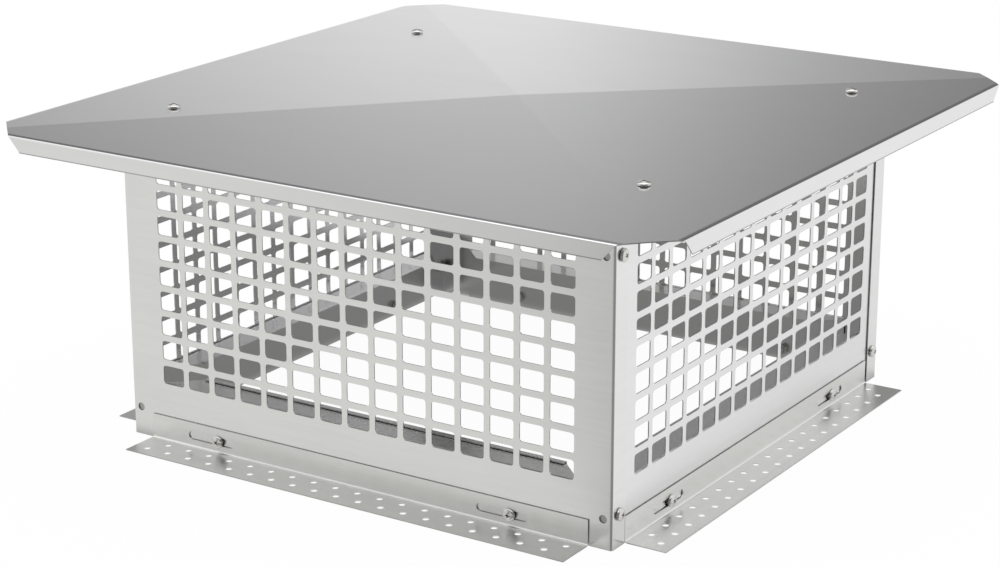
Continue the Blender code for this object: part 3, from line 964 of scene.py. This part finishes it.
def nut_mesh():
    """A hexagon nut with its seat at the origin, going down."""
    corner = NUT_ACROSS_FLATS / 2 / math.cos(math.pi / 6)
    flat = NUT_ACROSS_FLATS / 2
    work = bmesh.new()
    bmesh.ops.create_cone(
        work,
        cap_ends=True,
        segments=6,
        radius1=corner,
        radius2=corner,
        depth=NUT_HEIGHT,
        matrix=Matrix.Translation((0, 0, -NUT_HEIGHT / 2)),
    )
    prism = rough_piece("nut", mesh_of(work, "nut"))
    face = flat * NUT_FACE_SHARE
    wide = corner * NUT_CLEARS_CORNER
    chamfers = [(0.0, 0.0), (face, 0.0), (wide, -NUT_CHAMFER), (wide, -NUT_HEIGHT + NUT_CHAMFER)]
    chamfers += [(face, -NUT_HEIGHT), (0.0, -NUT_HEIGHT)]
    body = rough_piece("nut", cut_with(prism, turned_mesh("chamfers", chamfers), "INTERSECT"))
    bore = BOLT_HOLE / 2
    drill = [(0.0, NUT_HEIGHT), (bore, NUT_HEIGHT), (bore, -2 * NUT_HEIGHT), (0.0, -2 * NUT_HEIGHT)]
    return shade_turned(cut_with(body, turned_mesh("drill", drill), "DIFFERENCE"))


nut_steel = fastener_steel("nut_steel", colour=(0.62, 0.61, 0.58), roughness=0.26, wear=0.20)
nut_names = ("corner_nuts", "bracket_nuts", "lid_nuts")
set_all("nut", nut_mesh(), nut_steel, nut_names, sunk=0.0, seeds=(2, 4, 6))


# Lid. One square sheet with its corners cut off, cross-broken so that four flat facets meet in crisp hips,
# and its four sides folded down into short rims.
LID_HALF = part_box("lid")[1].x
LID_FOLD_HEIGHT = 0.250
LID_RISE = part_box("lid")[1].z - LID_FOLD_HEIGHT
LID_CORNER_CUT = 0.029
LID_BEND = 0.0011
LID_LEAD_BEND = 0.0008
LID_ROLL = 0.0036
LID_ROLL_DROP = 0.0006
RIM_DROP = 0.0125
RIM_TAPER = 0.010
LID_SEED = 9.0


def lid_height(distance):
    """How high the lid stands this far out from its middle."""
    return LID_FOLD_HEIGHT + LID_RISE * (1 - distance / LID_HALF)


def folded_lid():
    """The open surface of the lid."""
    work = bmesh.new()
    flat = LID_HALF - LID_ROLL
    corner_cut = LID_CORNER_CUT - LID_ROLL
    bmesh.ops.create_grid(work, x_segments=1, y_segments=1, size=flat)
    bmesh.ops.bevel(work, geom=work.verts[:], offset=corner_cut, segments=1, affect="VERTICES")
    bmesh.ops.translate(work, verts=work.verts[:], vec=(0, 0, LID_FOLD_HEIGHT))
    sides = [
        (edge, Vector((side * (axis == 0), side * (axis == 1), 0)))
        for axis in (0, 1)
        for side in (-1, 1)
        for edge in open_edges(work, axis, side * flat)
    ]
    leads = [edge for edge, outward in sides]
    corners = [edge for edge in work.edges if edge not in leads]
    bmesh.ops.subdivide_edges(work, edges=corners, cuts=1)
    bmesh.ops.poke(work, faces=work.faces[:])
    for point in work.verts:
        point.co.z = lid_height(max(abs(point.co.x), abs(point.co.y)))
    brinks = []
    for side, outward in sides:
        brink = fold_on(work, [side], outward * LID_ROLL - UP * LID_ROLL_DROP, taper=LID_ROLL)
        brinks += brink
        lower = fold_on(work, brink, -UP * (RIM_DROP - LID_ROLL_DROP - SHEET), taper=RIM_TAPER)
        # A last strip as wide as the sheet is thick counts as a sheared edge, so it is painted darker: a
        # painted shade line along the rim's lower edge.
        fold_on(work, lower, -UP * SHEET)
    round_folds(work, brinks, LID_BEND)
    round_folds(work, leads, LID_LEAD_BEND)
    return faced_sheet(work, UP, "lid_fold")


def lid_grain(at):
    """The rolling lines run along X over the slopes, and along each rim."""
    x, y, z = at.T
    on_rim = np.maximum(np.abs(x), np.abs(y)) > LID_HALF - LID_BEND
    on_side_rim = on_rim & (np.abs(x) > np.abs(y))
    return np.where(on_side_rim, y, x), np.where(on_rim, z, y), np.full(len(at), LID_SEED)


lid_steel = sheet_steel(
    "lid_steel",
    colour=(0.77, 0.77, 0.775),
    roughness=0.15,
    fine=0.15,
    streaks=0.30,
    clouds=0.25,
    contrast=0.06,
)
lid = thick_sheet("lid_cut", folded_lid())
holes_apart = 2 * (SIDE_FACE - LID_SCREW_INSET)
holes_middle = (0.0, 0.0, lid_height(holes_apart / 2))
round_holes(lid, BOLT_HOLE, (2, 2), (holes_apart, LID_SCREW_SPACING), holes_middle, LEVEL, lid_steel)
finish_sheet("lid_sheet", lid, lid_grain, lid_steel, "lid", sharp_flats=True)


# Studio. A white floor and a white sky to the eye. What the steel reflects is a pale studio with a broad
# lamp overhead, a dark wall behind the cap that glows low down, and a dimmer side where the camera stands.
# Angles are in degrees: up from the level, or round from the direction behind the cap.
WHITE = (1.0, 1.0, 1.0, 1.0)
BEHIND = Vector((-0.5415, 0.8407, 0.0))
RIGHTWARD = Vector((0.8407, 0.5415, 0.0))
SIDE_LEVEL = 1.00
OVERHEAD_LEVEL = 1.7
OVERHEAD_FROM = (42.0, 58.0)
CAMERA_LEVEL = 0.40
CAMERA_SIDE_FROM = (104.0, 122.0)
CAMERA_HEIGHT = (34.0, 46.0)
CAMERA_STAND = (125.0, 150.0)
CAMERA_STAND_LEVEL = 0.20
WALL_LEVEL = 0.10
WALL_HALF_WIDTH = (16.0, 46.0)
WALL_HEIGHT = (30.0, 46.0)
GLOW_LEVEL = 0.84
GLOW_HEIGHT = 10.0
GLOW_FALL = 10.0
GLOW_SPREAD_LEFT = 13.0
GLOW_SPREAD_RIGHT = 7.5


def smooth_step(tree, value, limits, first=0.0, last=1.0):
    """Goes softly from first to last as the value goes from one limit to the other."""
    smooth = {"interpolation_type": "SMOOTHSTEP"}
    ends = {"n1": limits[0], "n2": limits[1], "n3": first, "n4": last}
    return add_node(tree, "ShaderNodeMapRange", smooth, n0=value, **ends).outputs[0]


def reach_along(tree, vector, axis):
    dot = add_node(tree, "ShaderNodeVectorMath", {"operation": "DOT_PRODUCT"}, n0=vector, n1=tuple(axis))
    return dot.outputs["Value"]


def swing_of(tree, aside, ahead):
    """The angle round from the direction behind the cap, in degrees, to the right."""
    return arithmetic(tree, "DEGREES", arithmetic(tree, "ARCTAN2", aside, ahead))


def studio_world():
    """The light round the cap, by direction. The eye itself sees plain white."""
    world = bpy.data.worlds.new("studio")
    world.use_nodes = True
    tree = world.node_tree
    looks = add_node(tree, "ShaderNodeTexCoord").outputs["Generated"]
    rise = arithmetic(tree, "DEGREES", arithmetic(tree, "ARCSINE", reach_along(tree, looks, UP)))
    swing = swing_of(tree, reach_along(tree, looks, RIGHTWARD), reach_along(tree, looks, BEHIND))
    turned_away = arithmetic(tree, "ABSOLUTE", swing)
    to_left = arithmetic(tree, "LESS_THAN", swing, 0.0)
    spread = blend(tree, to_left, GLOW_SPREAD_RIGHT, GLOW_SPREAD_LEFT)
    off_centre = arithmetic(tree, "POWER", arithmetic(tree, "DIVIDE", swing, spread), 2.0)
    sideways = arithmetic(tree, "DIVIDE", 1.0, arithmetic(tree, "ADD", off_centre, 1.0))
    above = arithmetic(tree, "MAXIMUM", arithmetic(tree, "SUBTRACT", rise, GLOW_HEIGHT), 0.0)
    upward = arithmetic(tree, "EXPONENT", arithmetic(tree, "DIVIDE", above, -GLOW_FALL))
    glow = arithmetic(tree, "MULTIPLY", arithmetic(tree, "MULTIPLY", sideways, upward), GLOW_LEVEL)
    wall = arithmetic(tree, "ADD", glow, WALL_LEVEL)
    room = smooth_step(tree, rise, OVERHEAD_FROM, SIDE_LEVEL, OVERHEAD_LEVEL)
    camera_side = smooth_step(tree, turned_away, CAMERA_STAND, CAMERA_LEVEL, CAMERA_STAND_LEVEL)
    towards_camera = smooth_step(tree, turned_away, CAMERA_SIDE_FROM)
    below_lamp = smooth_step(tree, rise, CAMERA_HEIGHT, 1.0, 0.0)
    at_camera = arithmetic(tree, "MULTIPLY", towards_camera, below_lamp)
    dimmed = blend(tree, at_camera, room, camera_side)
    within_wall = smooth_step(tree, turned_away, WALL_HALF_WIDTH, 1.0, 0.0)
    below_top = smooth_step(tree, rise, WALL_HEIGHT, 1.0, 0.0)
    on_wall = arithmetic(tree, "MULTIPLY", within_wall, below_top)
    level = blend(tree, on_wall, dimmed, wall)
    studio = add_node(tree, "ShaderNodeBackground", Color=WHITE, Strength=level)
    white = add_node(tree, "ShaderNodeBackground", Color=WHITE, Strength=1.0)
    seen = tree.nodes.new("ShaderNodeLightPath").outputs["Is Camera Ray"]
    sky = add_node(tree, "ShaderNodeMixShader", n0=seen, n1=studio.outputs[0], n2=white.outputs[0])
    out = next(node for node in tree.nodes if node.type == "OUTPUT_WORLD")
    tree.links.new(sky.outputs[0], out.inputs["Surface"])
    return world


FLOOR_SIZE = 14.0
FLOOR_ALBEDO = 0.92
FLOOR_GLOW_TO_EYE = 0.97
FLOOR_GLOW_TO_STEEL = 0.90
FLOOR_RIGHT_LEVEL = 1.0
FLOOR_LEFT_LEVEL = 0.83
FLOOR_RIGHT_SIDE = (20.0, 60.0)
FLOOR_TONE_SIDE = (-30.0, 30.0)
FLOOR_CAMERA_LEVEL = 0.62
FLOOR_CAMERA_SIDE = (92.0, 125.0)
FLOOR_STAND_LEVEL = 0.22
FLOOR_STAND_SIDE = (118.0, 132.0)
FLOOR_TONE_LEFT = (1.0, 1.0, 0.975, 1.0)
# Under the cap the floor's glow to the steel is dimmed: a painted shadow of the cap.
FLOOR_UNDER_LEVEL = 0.25
FLOOR_UNDER = (0.20, 0.24)


def studio_floor():
    """A pale floor. To the eye it glows nearly white and keeps a trace of the cap's shadow.

    To the steel it glows too. There it is dimmer towards the camera and darkest in front of the near corner
    and under the cap, where the dimming is a painted shadow of the cap. It is a little warmer on the left.
    """
    bpy.ops.mesh.primitive_plane_add(size=FLOOR_SIZE)
    floor = bpy.context.object
    floor.name = "floor"
    material = bpy.data.materials.new("floor")
    material.use_nodes = True
    tree = material.node_tree
    place = add_node(tree, "ShaderNodeTexCoord").outputs["Object"]
    near_corner = Vector((SIDE_FACE, -FRONT_FACE, 0.0))
    past_corner = [
        arithmetic(tree, "SUBTRACT", reach_along(tree, place, axis), near_corner.dot(axis))
        for axis in (RIGHTWARD, BEHIND)
    ]
    swing = swing_of(tree, *past_corner)
    turned_away = arithmetic(tree, "ABSOLUTE", swing)
    sides = smooth_step(tree, swing, FLOOR_RIGHT_SIDE, FLOOR_LEFT_LEVEL, FLOOR_RIGHT_LEVEL)
    dimmed = blend(tree, smooth_step(tree, turned_away, FLOOR_CAMERA_SIDE), sides, FLOOR_CAMERA_LEVEL)
    darker = blend(tree, smooth_step(tree, turned_away, FLOOR_STAND_SIDE), dimmed, FLOOR_STAND_LEVEL)
    across = add_node(tree, "ShaderNodeSeparateXYZ", Vector=place).outputs
    reach = [arithmetic(tree, "ABSOLUTE", across[axis]) for axis in ("X", "Y")]
    outside = smooth_step(tree, arithmetic(tree, "MAXIMUM", *reach), FLOOR_UNDER)
    level = blend(tree, outside, FLOOR_UNDER_LEVEL, darker)
    paint = add_node(tree, "ShaderNodeBsdfDiffuse", Color=(FLOOR_ALBEDO,) * 3 + (1.0,))
    path = tree.nodes.new("ShaderNodeLightPath").outputs
    strength = blend(tree, path["Is Camera Ray"], level, 1.0)
    neutral = arithmetic(tree, "MAXIMUM", path["Is Camera Ray"], smooth_step(tree, swing, FLOOR_TONE_SIDE))
    tone = blend_colours(tree, neutral, FLOOR_TONE_LEFT, WHITE)
    glow = add_node(tree, "ShaderNodeEmission", Color=tone, Strength=strength)
    to_eye = arithmetic(tree, "MULTIPLY", path["Is Camera Ray"], FLOOR_GLOW_TO_EYE)
    glowing = arithmetic(tree, "MULTIPLY_ADD", path["Is Glossy Ray"], FLOOR_GLOW_TO_STEEL, to_eye)
    both = add_node(tree, "ShaderNodeMixShader", n0=glowing, n1=paint.outputs[0], n2=glow.outputs[0])
    out = next(node for node in tree.nodes if node.type == "OUTPUT_MATERIAL")
    tree.links.new(both.outputs[0], out.inputs["Surface"])
    floor.data.materials.append(material)


# Where the photo was taken from, worked out from where the regular mesh holes lie in it.
EYE = Vector((1.0402, -1.6394, 0.7153))
EYE_BACK = Vector((0.5163, -0.8016, 0.3014))
LENS = 91.94
SENSOR_WIDTH = 36.0
NEAREST_SEEN = 0.05
FURTHEST_SEEN = 60.0


def photo_camera():
    data = bpy.data.cameras.new("photo_view")
    data.lens = LENS
    data.sensor_width = SENSOR_WIDTH
    data.clip_start = NEAREST_SEEN
    data.clip_end = FURTHEST_SEEN
    camera = rough_piece("photo_view", data)
    camera.location = EYE
    camera.rotation_euler = (-EYE_BACK).to_track_quat("-Z", "Y").to_euler()
    return camera


scene = bpy.context.scene
scene.world = studio_world()
studio_floor()
scene.camera = photo_camera()
scene.view_settings.view_transform = "Standard"
